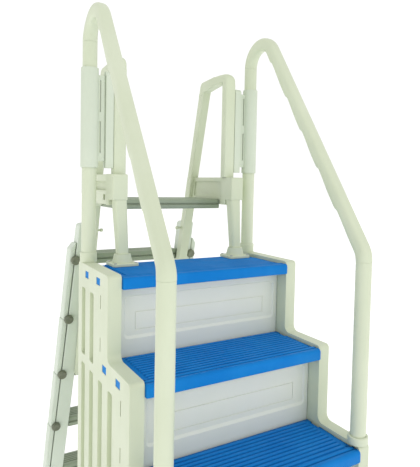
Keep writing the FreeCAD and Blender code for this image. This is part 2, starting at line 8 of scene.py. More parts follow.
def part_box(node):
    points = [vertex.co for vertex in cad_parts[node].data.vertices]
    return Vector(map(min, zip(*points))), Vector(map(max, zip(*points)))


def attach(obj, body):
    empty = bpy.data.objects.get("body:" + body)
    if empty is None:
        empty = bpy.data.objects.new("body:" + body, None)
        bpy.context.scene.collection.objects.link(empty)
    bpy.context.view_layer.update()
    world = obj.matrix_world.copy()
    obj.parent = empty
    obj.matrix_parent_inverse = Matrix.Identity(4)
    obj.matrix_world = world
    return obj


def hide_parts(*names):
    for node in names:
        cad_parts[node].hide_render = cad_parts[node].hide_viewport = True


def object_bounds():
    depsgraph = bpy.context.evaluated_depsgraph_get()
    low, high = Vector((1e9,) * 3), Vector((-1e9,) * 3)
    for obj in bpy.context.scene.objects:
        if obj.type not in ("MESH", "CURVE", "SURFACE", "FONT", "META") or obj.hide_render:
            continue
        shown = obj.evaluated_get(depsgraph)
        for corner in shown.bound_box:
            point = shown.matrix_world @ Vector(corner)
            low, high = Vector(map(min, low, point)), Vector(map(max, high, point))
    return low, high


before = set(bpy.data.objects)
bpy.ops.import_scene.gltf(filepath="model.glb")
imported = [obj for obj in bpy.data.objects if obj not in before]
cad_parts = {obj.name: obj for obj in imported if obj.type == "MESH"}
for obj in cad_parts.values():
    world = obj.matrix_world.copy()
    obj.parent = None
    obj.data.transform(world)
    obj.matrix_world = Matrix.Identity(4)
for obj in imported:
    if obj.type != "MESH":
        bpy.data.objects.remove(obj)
CAD_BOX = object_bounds()

# Shapes below are in millimetres in the stair's own frame: x across, y back from the front edge of
# the top level, z up from the ground. row() turns them into the frame's metres.
SIDES = (("right", 1), ("left", -1))
TOP_DEPTH = 310.0
_low, _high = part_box("side_panel_right")
OFFSET = _high.y * 1000 - TOP_DEPTH
HALF = _low.x * 1000
PANEL = (_high.x - _low.x) * 1000
DECK = _high.z * 1000


def row(x, y, z):
    """Point of the stair's frame in the metres of the row frame."""
    return Vector((x / 1000, (y + OFFSET) / 1000, z / 1000))


def limits(node):
    """x0, x1, y0, y1, z0, z1 of a CAD node in the stair's frame."""
    low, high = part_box(node)
    return (low.x * 1000, high.x * 1000, low.y * 1000 - OFFSET, high.y * 1000 - OFFSET,
            low.z * 1000, high.z * 1000)


_one, _two = limits("stair_tread_1"), limits("stair_tread_2")
RISE = _one[5] - _two[5]
RUN = _one[2] - _two[2]
LEVELS = 5
STEPS = 5

# Outside section: leaning guides, and rails that spread towards the ground.
LEAN, FLARE = 0.27, 0.0345
STEP_PITCH = 264.0
STEP_Z = DECK - 54.0
RAIL_HALF = 29.0


def guide_y(z):
    """Centre of the guide rails at height z."""
    return 543.0 + LEAN * (DECK + 334.0 - z)


def seam_x(z):
    """Outer face of the step rails at height z, where their covers begin."""
    return 267.6 + FLARE * (STEP_Z - z)


# ---------------------------------------------------------------- camera
def make_camera():
    """Camera solved from the straight edges of the object."""
    yaw, pitch, roll = math.radians(31.526), math.radians(-2.750), math.radians(1.2094)
    ahead = Vector((math.sin(yaw) * math.cos(pitch), math.cos(yaw) * math.cos(pitch), math.sin(pitch)))
    right = Vector((math.cos(yaw), -math.sin(yaw), 0))
    up = right.cross(ahead)
    right, up = (math.cos(roll) * right + math.sin(roll) * up,
                 -math.sin(roll) * right + math.cos(roll) * up)
    data = bpy.data.cameras.new("camera")
    data.sensor_width = 36
    data.lens = 37.85
    data.shift_x, data.shift_y = -0.0282, -0.0554
    camera = bpy.data.objects.new("camera", data)
    turn = Matrix((right, up, -ahead)).transposed().to_4x4()
    camera.matrix_world = Matrix.Translation(row(-807.7, -1375.25, DECK + 273.75)) @ turn
    bpy.context.scene.collection.objects.link(camera)
    bpy.context.scene.camera = camera


make_camera()


# ---------------------------------------------------------------- materials
class Nodes:
    """Small helper for building a node tree."""

    def __init__(self, name):
        self.material = bpy.data.materials.new(name)
        self.material.use_nodes = True
        self.tree = self.material.node_tree
        self.shader = self.tree.nodes["Principled BSDF"]
        self.coords = self.add("ShaderNodeTexCoord").outputs["Object"]

    def add(self, kind, **inputs):
        node = self.tree.nodes.new(kind)
        for key, value in inputs.items():
            socket = node.inputs[key.replace("_", " ")]
            if isinstance(value, bpy.types.NodeSocket):
                self.tree.links.new(value, socket)
            else:
                socket.default_value = value
        return node

    def stretched(self, scale):
        node = self.add("ShaderNodeMapping", Vector=self.coords)
        node.inputs["Scale"].default_value = scale
        return node.outputs["Vector"]

    def noise(self, scale, detail=3.0, rough=0.55, vector=None):
        node = self.add("ShaderNodeTexNoise", Vector=vector or self.coords, Scale=scale,
                        Detail=detail, Roughness=rough)
        return node.outputs["Fac"]

    def spread(self, value, low, high, to_low=0.0, to_high=1.0):
        node = self.tree.nodes.new("ShaderNodeMapRange")
        node.interpolation_type = "SMOOTHSTEP"
        self.tree.links.new(value, node.inputs[0])
        for index, number in zip((1, 2, 3, 4), (low, high, to_low, to_high)):
            node.inputs[index].default_value = number
        return node.outputs[0]

    def mix(self, factor, a, b, blend="MIX"):
        node = self.tree.nodes.new("ShaderNodeMix")
        node.data_type = "RGBA"
        node.blend_type = blend
        for socket, value in zip((node.inputs[0], node.inputs[6], node.inputs[7]), (factor, a, b)):
            if isinstance(value, bpy.types.NodeSocket):
                self.tree.links.new(value, socket)
            elif isinstance(value, (int, float)):
                socket.default_value = value
            else:
                socket.default_value = (*value, 1)
        return node.outputs[2]

    def sums(self, *values):
        total = values[0]
        for value in values[1:]:
            node = self.tree.nodes.new("ShaderNodeMath")
            node.operation = "ADD"
            self.tree.links.new(total, node.inputs[0])
            self.tree.links.new(value, node.inputs[1])
            total = node.outputs[0]
        return total

    def times(self, value, factor):
        node = self.tree.nodes.new("ShaderNodeMath")
        node.operation = "MULTIPLY"
        self.tree.links.new(value, node.inputs[0])
        node.inputs[1].default_value = factor
        return node.outputs[0]

    def out(self, socket, name):
        self.tree.links.new(socket, self.shader.inputs[name])


def plastic(name, colour, dark, light, rough, grain, scuffs=0.25, specular=0.5, sheen_dust=0.0, groove=0.45):
    """Moulded plastic: flow mottling, fine grain, faint scuffs, a painted highlight on edges and painted
    shade in grooves and corners.
    """
    n = Nodes(name)
    n.shader.inputs["Specular IOR Level"].default_value = specular
    cloud = n.spread(n.noise(3.2, 4.0), 0.32, 0.68)
    flow = n.spread(n.noise(9.0, 3.0, vector=n.stretched((1.0, 1.0, 0.25))), 0.35, 0.7)
    base = n.mix(cloud, dark, colour)
    base = n.mix(n.times(flow, 0.35), base, light)
    speck = n.spread(n.noise(420.0, 2.0), 0.60, 0.74)
    base = n.mix(n.times(speck, 0.10), base, dark)
    # Painted highlight: convex edges and rib crests are lightened through pointiness, more strongly on the
    # ribbed treads.
    edge = n.add("ShaderNodeNewGeometry").outputs["Pointiness"]
    base = n.mix(n.spread(edge, 0.52, 0.62, 0.0, 0.55 if groove > 0.7 else 0.30), base, light)
    # Painted shade: ambient occlusion darkens grooves, gaps and corners towards a darker tone; groove sets
    # how strong it is.
    shade = n.add("ShaderNodeAmbientOcclusion", Distance=0.02)
    shade.samples = 4
    near, far = (0.35, 0.95) if groove > 0.7 else (0.25, 0.80)
    painted_groove_shade = n.spread(shade.outputs["AO"], near, far, groove, 0.0)
    base = n.mix(painted_groove_shade, base, tuple(c * (1 - groove * 0.6) for c in dark))
    scratch = n.spread(n.noise(60.0, 6.0, 0.7, n.stretched((1.0, 6.0, 1.0))), 0.60, 0.66)
    if sheen_dust:
        dust = n.spread(n.noise(24.0, 5.0, 0.65), 0.45, 0.8)
        base = n.mix(n.times(dust, sheen_dust), base, light)
    base = n.mix(n.times(scratch, 0.10 * scuffs / 0.25), base, light)
    n.out(base, "Base Color")
    rough_field = n.sums(n.spread(n.noise(14.0, 4.0), 0.3, 0.7, rough - 0.05, rough + 0.06),
                         n.times(scratch, 0.12))
    n.out(rough_field, "Roughness")
    fine = n.noise(grain, 2.0)
    orange = n.noise(grain * 0.22, 2.0)
    height = n.sums(n.times(fine, 0.35), n.times(orange, 0.5), n.times(scratch, 0.18))
    bump = n.add("ShaderNodeBump", Strength=0.16, Distance=0.0006, Height=height)
    n.out(bump.outputs["Normal"], "Normal")
    return n.material


IVORY = plastic("ivory_moulded", (0.690, 0.750, 0.560), (0.650, 0.710, 0.522), (0.745, 0.795, 0.630),
                0.42, 900.0)
SLEEVE = plastic("ivory_cool_moulded", (0.680, 0.750, 0.610), (0.640, 0.710, 0.570),
                 (0.740, 0.800, 0.675), 0.45, 900.0)
OUTSIDE = plastic("ivory_outside_moulded", (0.700, 0.775, 0.660), (0.650, 0.725, 0.605),
                  (0.770, 0.825, 0.730), 0.45, 900.0, scuffs=0.5)
BLUE = plastic("blue_tread", (0.003, 0.205, 0.640), (0.002, 0.185, 0.590), (0.018, 0.290, 0.740),
               0.55, 700.0, scuffs=0.3, specular=0.10, sheen_dust=0.03, groove=0.85)
RISER = plastic("riser_white", (0.880, 0.895, 0.780), (0.855, 0.880, 0.755), (0.900, 0.910, 0.820),
                0.42, 800.0)
GREEN = plastic("grey_green_tread", (0.320, 0.385, 0.270), (0.250, 0.305, 0.205),
                (0.430, 0.490, 0.380), 0.45, 600.0, scuffs=0.6, sheen_dust=0.22, groove=0.8)
KNOB = plastic("knob_plastic", (0.190, 0.210, 0.140), (0.120, 0.135, 0.088), (0.300, 0.320, 0.235),
               0.42, 700.0, scuffs=0.5, groove=0.6)


def rubber():
    """Dark matt rubber with dusty patches."""
    n = Nodes("pad_rubber")
    n.shader.inputs["Specular IOR Level"].default_value = 0.25
    base = n.mix(n.spread(n.noise(30.0, 5.0), 0.35, 0.7), (0.020, 0.021, 0.020), (0.045, 0.046, 0.043))
    base = n.mix(n.spread(n.noise(6.0, 4.0), 0.55, 0.75, 0.0, 0.4), base, (0.110, 0.105, 0.092))
    n.out(base, "Base Color")
    n.out(n.spread(n.noise(50.0, 4.0), 0.3, 0.7, 0.70, 0.88), "Roughness")
    bump = n.add("ShaderNodeBump", Strength=0.35, Distance=0.0006, Height=n.noise(500.0, 3.0))
    n.out(bump.outputs["Normal"], "Normal")
    return n.material


def steel():
    """Brushed steel of the screws."""
    n = Nodes("screw_steel")
    n.shader.inputs["Metallic"].default_value = 1.0
    brushed = n.noise(260.0, 4.0, 0.6, n.stretched((12.0, 1.0, 1.0)))
    base = n.mix(n.spread(brushed, 0.3, 0.7), (0.52, 0.53, 0.54), (0.70, 0.71, 0.72))
    n.out(base, "Base Color")
    n.out(n.spread(brushed, 0.3, 0.7, 0.22, 0.38), "Roughness")
    bump = n.add("ShaderNodeBump", Strength=0.12, Distance=0.0003, Height=brushed)
    n.out(bump.outputs["Normal"], "Normal")
    return n.material


RUBBER, STEEL = rubber(), steel()


# ---------------------------------------------------------------- mesh helpers
def prism(points, x0, x1):
    """Solid with a YZ outline, from x0 to x1."""
    bm = bmesh.new()
    near = [bm.verts.new((x0, y, z)) for y, z in points]
    far = [bm.verts.new((x1, y, z)) for y, z in points]
    bm.faces.new(near)
    bm.faces.new(far[::-1])
    count = len(points)
    for i in range(count):
        j = (i + 1) % count
        bm.faces.new((near[j], near[i], far[i], far[j]))
    bmesh.ops.recalc_face_normals(bm, faces=bm.faces)
    return bm


def outline(points, steps=6):
    """Rounds the corners of (y, z, radius) points."""
    made = []
    count = len(points)
    for i, (y, z, r) in enumerate(points):
        here = Vector((y, z))
        if r <= 0:
            made.append((y, z))
            continue
        before = Vector(points[i - 1][:2])
        after = Vector(points[(i + 1) % count][:2])
        back, ahead = (before - here).normalized(), (after - here).normalized()
        half = back.angle(ahead) / 2
        centre = here + (back + ahead).normalized() * (r / math.sin(half))
        start, end = here + back * (r / math.tan(half)), here + ahead * (r / math.tan(half))
        a, b = start - centre, end - centre
        sweep = a.angle(b)
        turn = 1 if a.cross(b) > 0 else -1
        for k in range(steps + 1):
            t = turn * sweep * k / steps
            made.append((centre.x + a.x * math.cos(t) - a.y * math.sin(t),
                         centre.y + a.x * math.sin(t) + a.y * math.cos(t)))
    return made


def block(x0, x1, y0, y1, z0, z1):
    """Plain box."""
    return prism([(y0, z0), (y1, z0), (y1, z1), (y0, z1)], x0, x1)


def join(parts):
    """Several bmeshes as one."""
    whole = bmesh.new()
    for part in parts:
        mesh = bpy.data.meshes.new("part")
        part.to_mesh(mesh)
        part.free()
        whole.from_mesh(mesh)
        bpy.data.meshes.remove(mesh)
    return whole


def carve(bm, cutters, operation="DIFFERENCE"):
    """Exact boolean of a bmesh with a list of cutters."""
    objects = []
    for part in (bm, join(cutters)):
        mesh = bpy.data.meshes.new("carve")
        part.to_mesh(mesh)
        part.free()
        made = bpy.data.objects.new("carve", mesh)
        bpy.context.scene.collection.objects.link(made)
        objects.append(made)
    body, tool = objects
    modifier = body.modifiers.new("cut", "BOOLEAN")
    modifier.operation = operation
    modifier.solver = "EXACT"
    modifier.use_self = True
    modifier.object = tool
    graph = bpy.context.evaluated_depsgraph_get()
    result = bpy.data.meshes.new_from_object(body.evaluated_get(graph), depsgraph=graph)
    cut = bmesh.new()
    cut.from_mesh(result)
    bpy.data.meshes.remove(result)
    for made in objects:
        mesh = made.data
        bpy.data.objects.remove(made)
        bpy.data.meshes.remove(mesh)
    bmesh.ops.remove_doubles(cut, verts=cut.verts, dist=0.01)
    bmesh.ops.dissolve_limit(cut, angle_limit=math.radians(0.5), verts=cut.verts, edges=cut.edges)
    return cut


def loft(rings, closed=False):
    """Skin over rings of equal length, with end caps."""
    bm = bmesh.new()
    made = [[bm.verts.new(p) for p in ring] for ring in rings]
    count = len(rings[0])
    pairs = list(zip(made, made[1:])) + ([(made[-1], made[0])] if closed else [])
    for a, b in pairs:
        for i in range(count):
            j = (i + 1) % count
            bm.faces.new((a[i], a[j], b[j], b[i]))
    if not closed:
        bm.faces.new(made[0][::-1])
        bm.faces.new(made[-1])
    bmesh.ops.recalc_face_normals(bm, faces=bm.faces)
    return bm


def piece(name, bm, material, body, slot, nodes=(), bevel=0.0, segments=2, angle=32, side=1, weights=False):
    """Makes one finished piece of the object out of a bmesh, which stays usable."""
    mesh = bpy.data.meshes.new(name)
    bm.to_mesh(mesh)
    mesh.transform(Matrix.Translation((0, OFFSET, 0)))
    mesh.transform(Matrix.Diagonal((side * 0.001, 0.001, 0.001, 1)))
    if side < 0:
        mesh.flip_normals()
    mesh.shade_smooth()
    made = bpy.data.objects.new(name, mesh)
    bpy.context.scene.collection.objects.link(made)
    mesh.materials.append(material)
    mesh.set_sharp_from_angle(angle=math.radians(angle))
    if bevel:
        edge = made.modifiers.new("edges", "BEVEL")
        edge.width = bevel / 1000
        edge.segments = segments
        edge.limit_method = "WEIGHT" if weights else "ANGLE"
        edge.angle_limit = math.radians(angle)
        edge.use_clamp_overlap = True
        edge.harden_normals = True
        edge.miter_outer = "MITER_ARC"
    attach(made, body)
    if nodes:
        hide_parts(*nodes)
    return made


def both(name, bm, material, body, slot, nodes=(), **options):
    """A right-hand shape and its mirror image."""
    for side, sign in SIDES:
        piece(name + "_" + side, bm, material, body, slot, [n + "_" + side for n in nodes],
              side=sign, **options)
    bm.free()


def dress(node, material, bevel=1.2, segments=2, angle=35):
    """Keeps a CAD node, with eased edges and a better material."""
    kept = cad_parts[node]
    kept.data.materials.clear()
    kept.data.materials.append(material)
    weld = kept.modifiers.new("weld", "WELD")
    weld.merge_threshold = 0.00001
    flat = kept.modifiers.new("flat", "DECIMATE")
    flat.decimate_type = "DISSOLVE"
    flat.angle_limit = math.radians(0.8)
    if bevel:
        edge = kept.modifiers.new("edges", "BEVEL")
        edge.width = bevel / 1000
        edge.segments = segments
        edge.limit_method = "ANGLE"
        edge.angle_limit = math.radians(angle)
        edge.use_clamp_overlap = True
    normals = kept.modifiers.new("normals", "WEIGHTED_NORMAL")
    normals.keep_sharp = False


# ---------------------------------------------------------------- side panels
FLUTE_PITCH, FLUTE_W, FLUTE_DEEP, FLUTE_FIRST = 91.5, 40.0, 13.0, 248.0


def level_front(i):
    """Front edge of a stair level, counted from the top."""
    return -RUN * i


def level_top(i):
    """Height of a stair level, counted from the top."""
    return DECK - RISE * i


def side_panels():
    """Stepped panels with flutes, tab sockets and slots; the outer edges are rounded most."""
    base = limits("side_panel_right")[4]
    points = [(TOP_DEPTH, base, 10), (TOP_DEPTH, DECK, 12)]
    for i in range(LEVELS):
        points.append((level_front(i), level_top(i), 13))
        if i < LEVELS - 1:
            points.append((level_front(i), level_top(i + 1), 22))
    points.append((level_front(LEVELS - 1), base, 10))
    bm = prism(outline(points), HALF, HALF + PANEL)
    face = HALF + PANEL
    cutters = []
    for column in range(2 * LEVELS):
        first = column // 2
        y = FLUTE_FIRST - FLUTE_PITCH * column
        high = level_top(first) - 80
        spans = []
        if first == 0:
            spans.append((level_top(1) - 51, high))
            high = level_top(1) - 80
        if first <= 2:
            spans.append((level_top(3) - 51, high))
            high = level_top(3) - 80
        spans.append((base + 34, high))
        for low, top in spans:
            ring = outline([(y - FLUTE_W / 2, low, 8), (y + FLUTE_W / 2, low, 8),
                            (y + FLUTE_W / 2, top, 8), (y - FLUTE_W / 2, top, 8)], 4)
            cutters.append(prism(ring, face - FLUTE_DEEP, face + 5))
    for i in range(LEVELS):
        y, top = level_front(i), level_top(i)
        for tab in (92.0, 212.0):
            cutters.append(block(HALF - 5, face + 5, y + tab - 18.5, y + tab + 18.5, top - 43.5, top - 20.5))
        for low in (top - 112, top - 243):
            cutters.append(prism([(y + 64, low), (y + 70, low), (y + 70, low + 43), (y + 64, low + 43)],
                                 face - 10, face + 5))
    bm = carve(bm, cutters)
    layer = bm.edges.layers.float.new("bevel_weight_edge")
    for edge in bm.edges:
        if len(edge.link_faces) != 2 or edge.calc_face_angle(0) < math.radians(30):
            continue
        edge[layer] = 0.22
        for f in edge.link_faces:
            xs = [v.co.x for v in f.verts]
            if max(xs) - min(xs) > PANEL - 1 and abs(f.normal.x) < 0.1:
                outer = min(v.co.x for v in edge.verts) > face - 1
                inner = max(v.co.x for v in edge.verts) < HALF + 1
                ends = [v.co for v in edge.verts]
                hole = any(abs(c.z - level_top(i) + d) < 0.6 for c in ends for i in range(LEVELS)
                           for d in (43.5, 20.5)) and min(abs(c.y - level_front(i)) for c in ends
                                                          for i in range(LEVELS)) > 10
                if hole:
                    edge[layer] = 0.18
                elif outer:
                    edge[layer] = 1.0
                elif inner:
                    edge[layer] = 0.5
    both("panel", bm, IVORY, "frame", "ivory_plastic", ["side_panel"], bevel=8, segments=4, weights=True)


side_panels()


# ---------------------------------------------------------------- treads
def rib(y, wide, top, rise, weight=1):
    """Cross-section points of one rounded rib: y, z, share of the rib height, rib centre."""
    half = wide / 2
    return [(y - half - 0.6, top - rise, 0, y), (y - half, top - rise * 0.7, weight, y),
            (y - half + 0.9, top - rise * 0.14, weight, y), (y - half + 2.2, top, weight, y),
            (y + half - 2.2, top, weight, y), (y + half - 0.9, top - rise * 0.14, weight, y),
            (y + half, top - rise * 0.7, weight, y), (y + half + 0.6, top - rise, 0, y)]


def ribbed(half, y0, y1, low, top, nose, ribs, border, rise, gap, slant=0.0, lip=0.0, bands=(), corner=0.0):
    """Tread with a rounded nose, broad bands behind it, and ribs that stop short of the ends."""
    depth = y1 - y0
    ring = [(y1 - 2, low, 0, None), (y0 + nose * 0.6, low, 0, None), (y0 + nose * 0.2, low + 1.0, 0, None),
            (y0, low + nose * 0.35, 0, None)]
    middle = (low + top) / 2
    if lip:
        ring += [(y0, middle - 5, 0, None), (y0 + lip, middle - 3, 0, None), (y0 + lip, middle + 1, 0, None),
                 (y0, middle + 3, 0, None)]
    for k in range(7):
        a = math.radians(90 * k / 6)
        ring.append((y0 + nose * (1 - math.cos(a)), top - nose * (1 - math.sin(a)), 0, None))
    for start, end in bands:
        if start > nose:
            ring += [(y0 + start - 1.0, top - rise, 0, None), (y0 + start, top - 0.8, 0, None),
                     (y0 + start + 1.2, top, 0, None)]
        ring += [(y0 + end - 1.2, top, 0, None), (y0 + end, top - 0.8, 0, None),
                 (y0 + end + 1.0, top - rise, 0, None)]
    first, last, count = y0 + ribs[0], y1 - ribs[1], ribs[2]
    pitch = (last - first) / count
    for k in range(count):
        ring += rib(first + (k + 0.5) * pitch, pitch - gap, top, rise)
    ring += [(y1 - 6, top - rise, 0, None), (y1 - 2, top - rise - 1.2, 0, None),
             (y1, top - rise - 5, 0, None), (y1, low + 2, 0, None)]
    yc, zc = (y0 + y1) / 2, (low + top) / 2

    def station(x, share, inset=0.0, end=0, pull=0.0):
        points = []
        for y, z, weight, centre in ring:
            if weight:
                z = top - rise + (z - top + rise) * share
            px = x
            if centre is not None and end:
                px = x - end * slant * (y - centre)
            ky, kz = 1 - inset / (depth / 2), 1 - inset / ((top - low) / 2)
            back = pull * max(0.0, 1 - (y - y0) / 40.0)
            points.append((px, yc + (y - yc) * ky + back, zc + (z - zc) * kz))
        return points

    stations = [(-half, 0, 3.0, 0, corner), (-half + 0.7, 0, 1.2, 0, corner * 0.62),
                (-half + 2.4, 0, 0, 0, corner * 0.33), (-half + 5.5, 0, 0, 0, corner * 0.10),
                (-half + 9.5, 0, 0, 0, 0),
                (-half + border, 0, 0, -1), (-half + border + 1.4, 0.8, 0, -1),
                (-half + border + 3.4, 1, 0, -1),
                (-half + border + 22, 1, 0, 0), (-half / 3, 1, 0, 0)]
    rings = [station(*s) for s in stations]
    for x, share, inset, end, *pull in reversed(stations):
        rings.append(station(-x, share, inset, -end, *pull))
    return loft(rings)


def stair_treads():
    """Blue ribbed treads with notched ends, a small hole and the tabs that enter the panels."""
    for i in range(LEVELS):
        node = "stair_tread_%d" % (i + 1)
        y0, y1, z0, z1 = limits(node)[2:]
        half = HALF - 1.0
        bm = ribbed(half, y0, y1, z0, z1, 11.0, (44.0, 12.0, 11 if i else 12), 24.0, 4.0, 5.6, slant=0.36,
                    bands=((0, 20.5), (26.0, 38.5)), corner=8.0)
        notch = []
        for sign in (-1, 1):
            for y, w, long in ((y1 - 66, 9, 42), (y0 + 92, 4, 26)):
                a, b = sorted((sign * (half + 2), sign * (half - w)))
                notch.append(block(a, b, y, y + long, z0 - 5, z1 + 5))
            a, b = sorted((sign * (half - 10), sign * (half - 17)))
            notch.append(block(a, b, y0 + 48, y0 + 53, z1 - 14, z1 + 5))
        bm = carve(bm, notch)
        tabs = []
        for sign in (-1, 1):
            for tab in (92.0, 212.0):
                y = level_front(i) + tab
                z = level_top(i) - 43
                a, b = sorted((sign * (half - 6), sign * (HALF + PANEL - 1.2)))
                tabs.append(block(a, b, y - 18, y + 18, z, z + 22))
        bm = carve(bm, tabs, "UNION")
        piece("tread_%d" % (i + 1), bm, BLUE, "frame", "blue_tread", [node], bevel=0.8, segments=2, angle=50)
        bm.free()


stair_treads()


def grey_treads():
    """The platform and the treads of the outside section."""
    x0, x1, y0, y1, z0, z1 = limits("platform_tread")
    bm = ribbed(x1, y0, y1, z0, z1, 7.0, (24.0, 12.0, 10), 14.0, 3.2, 6.5, lip=4.0, bands=((0, 17.0),))
    piece("platform", bm, GREEN, "frame", "grey_green_plastic", ["platform_tread"], angle=50)
    bm.free()
    for i in range(STEPS):
        node = "ladder_tread_%d" % (i + 1)
        x0, x1, y0, y1, z0, z1 = limits(node)
        bm = ribbed(x1, y0, y1, z0, z1, 7.0, (23.0, 10.0, 5), 14.0, 3.2, 6.5, lip=4.0, bands=((0, 16.0),))
        piece("outside_tread_%d" % (i + 1), bm, GREEN, "step_section", "grey_green_plastic", [node], angle=50)
        bm.free()


grey_treads()


def rect(x0, x1, z0, z1, y, r):
    """Rounded upright rectangle at depth y."""
    return [(a, y, b) for a, b in outline([(x0, z0, r), (x1, z0, r), (x1, z1, r), (x0, z1, r)], 4)]


def risers():
    """Boards with a long sunk field that has a sloped ledge below, and an inner groove."""
    for i in range(LEVELS):
        node = "riser_%d" % (i + 1)
        x0, x1, y0, y1, z0, z1 = limits(node)
        left, right, low, high = x0 + 26, x1 - 14, z1 - 160, z1 - 34
        a, b, c, d = x0 + 62, x1 - 60, low + 17, high - 50
        bm = loft([rect(x0, x1, z0, z1, y1, 0.5), rect(x0, x1, z0, z1, y0, 0.5),
                   rect(left, right, low - 8, high + 2, y0, 14),
                   rect(left + 5, right - 5, low + 1, high - 2, y0 + 5, 10),
                   rect(a, b, c, d, y0 + 5, 2), rect(a + 0.6, b - 0.6, c + 0.6, d - 0.6, y0 + 7.2, 2),
                   rect(a + 2.6, b - 2.6, c + 2.6, d - 2.6, y0 + 7.2, 1.5),
                   rect(a + 3.2, b - 3.2, c + 3.2, d - 3.2, y0 + 5, 1.5)])
        piece("riser_board_%d" % (i + 1), bm, RISER, "frame", "riser_plastic", [node],
              bevel=0.9, segments=2, angle=20)
        bm.free()


risers()


# ---------------------------------------------------------------- handrails
def smooth(t):
    """Eases from 0 to 1, flat at both ends."""
    t = min(1.0, max(0.0, t))
    return t * t * (3 - 2 * t)


def handrails():
    """One-piece grips: arch, straight run with finger stops, knee and short end."""
    x0, x1, y0, y1, z0, z1 = limits("back_post_right")
    rail_x, back_y, arch_z = (x0 + x1) / 2, (y0 + y1) / 2, z1
    x0, x1, y0, y1, z0, z1 = limits("front_post_right")
    front_y, knee_z = (y0 + y1) / 2, z1
    x0, x1, y0, y1, z0, z1 = limits("handrail_right")
    thick = 48.0
    radius, lean, knee_r = z1 - arch_z - thick / 2, 0.68, 70.0
    long = math.hypot(1, lean)
    out, down = Vector((-1, lean)) / long, Vector((-lean, -1)) / long
    centre = Vector((back_y - radius, arch_z))
    leave = centre + out * radius
    corner = leave + down * ((leave.x - front_y) / -down.x)
    turn = down.angle(Vector((0, -1)))
    tangent = knee_r * math.tan(turn / 2)
    knee_in = corner - down * tangent
    sweep = math.pi - math.atan(lean)
    path = []                                     # place, outward normal, part, measure
    steps = 30
    for k in range(steps):
        a = sweep * k / steps
        n = Vector((math.cos(a), math.sin(a)))
        path.append((centre + n * radius, n, "arch", k / steps))
    straight = (knee_in - leave).length
    steps = int(straight / 5)
    for k in range(steps):
        s = straight * k / steps
        path.append((leave + down * s, out, "grip", s))
    steps = 10
    middle = knee_in - out * knee_r
    for k in range(steps + 1):
        a = turn * k / steps
        n = Vector((out.x * math.cos(a) - out.y * math.sin(a), out.x * math.sin(a) + out.y * math.cos(a)))
        path.append((middle + n * knee_r, n, "knee", k / steps))
    last = path[-1][0]
    path.append((Vector((front_y, knee_z)), Vector((-1, 0)), "end", (last.y - knee_z)))
    marks = [Vector(p) for p in ((150, DECK + 728), (46, DECK + 593), (-43, DECK + 466),
                                 (-127, DECK + 334), (-220, DECK + 202))]
    stops = [(m - leave).dot(down) for m in marks]
    rings = []
    for place, n, part, t in path:
        wide, square, far, near = 20.4, 3.0, 23.9, 23.6
        if part == "arch":
            k = smooth(t / 0.4)
            wide, square = 24.2 - 3.8 * k, 2.0 + 1.0 * k
            far, near = 23.9, 24.1 + 0.7 * smooth((t - 0.5) / 0.5)
        elif part == "grip":
            before = [s for s in stops if s <= t]
            after = [s for s in stops if s > t]
            if not before:
                near = 24.8 + 1.5 * smooth(t / stops[0])
            else:
                start = before[-1]
                span = (after[0] if after else straight) - start
                drop = smooth((t - start) / 16.0)
                grow = smooth((t - start - 12) / (span * 0.75))
                near = 26.3 - 6.4 * drop + (6.4 if after else 3.4) * grow
        elif part == "knee":
            k = smooth(t)
            wide, square = 20.4 + 3.8 * k, 3.0 - 0.9 * k
            far, near = 23.9, 23.3 + 0.8 * k
        else:
            wide, square, far, near = 24.2, 2.1, 24.1, 24.1
        ring = []
        for c in range(28):
            a = 2 * math.pi * c / 28
            ca, sa = math.cos(a), math.sin(a)
            px = math.copysign(abs(ca) ** (2 / square), ca) * wide
            pn = math.copysign(abs(sa) ** (2 / square), sa) * (far if sa > 0 else near)
            spot = place + n * pn
            ring.append((rail_x + px, spot.x, spot.y))
        rings.append(ring)
    both("grip_rail", loft(rings), IVORY, "frame", "ivory_plastic", ["handrail"], bevel=0.8, angle=50)


handrails()


# ---------------------------------------------------------------- outside section
def knobs():
    """Eight-lobed knobs with a dished cap, on the seam of rail and cover."""
    tilt = math.atan(LEAN)
    profile = ((0.0, 19.0), (2.0, 19.6), (11.0, 19.6), (14.5, 17.4), (16.0, 14.0), (15.2, 10.5), (14.0, 7.0))
    for side, sign in SIDES:
        parts = []
        for i in range(STEPS):
            z = STEP_Z - STEP_PITCH * i
            x = seam_x(z) + 0.2
            y = guide_y(z) + 22.0 - 0.3
            rings = []
            for lift, size in profile:
                ring = []
                for c in range(32):
                    a = 2 * math.pi * c / 32
                    scallop = size * (1 - 0.055 * (0.5 - 0.5 * math.cos(8 * a)) * (lift < 14 and lift > 0))
                    u, v = scallop * math.cos(a), scallop * math.sin(a)
                    ring.append((x + u, y - lift * math.cos(tilt) - v * math.sin(tilt),
                                 z + v * math.cos(tilt) - lift * math.sin(tilt)))
                rings.append(ring)
            parts.append(loft(rings))
        bm = join(parts)
        piece("knobs_" + side, bm, KNOB, "step_section", "grey_green_plastic", ["step_knobs_" + side],
              side=sign, angle=50)
        bm.free()


knobs()


def rounded_ring(spots, square=4.0, count=28):
    """Superellipse through a centre, a half width along x and a half depth vector in the YZ plane."""
    x, wide, centre, deep = spots
    ring = []
    for c in range(count):
        a = 2 * math.pi * c / count
        ca, sa = math.cos(a), math.sin(a)
        px = math.copysign(abs(ca) ** (2 / square), ca) * wide
        pn = math.copysign(abs(sa) ** (2 / square), sa)
        spot = centre + deep * pn
        ring.append((x + px, spot.x, spot.y))
    return ring


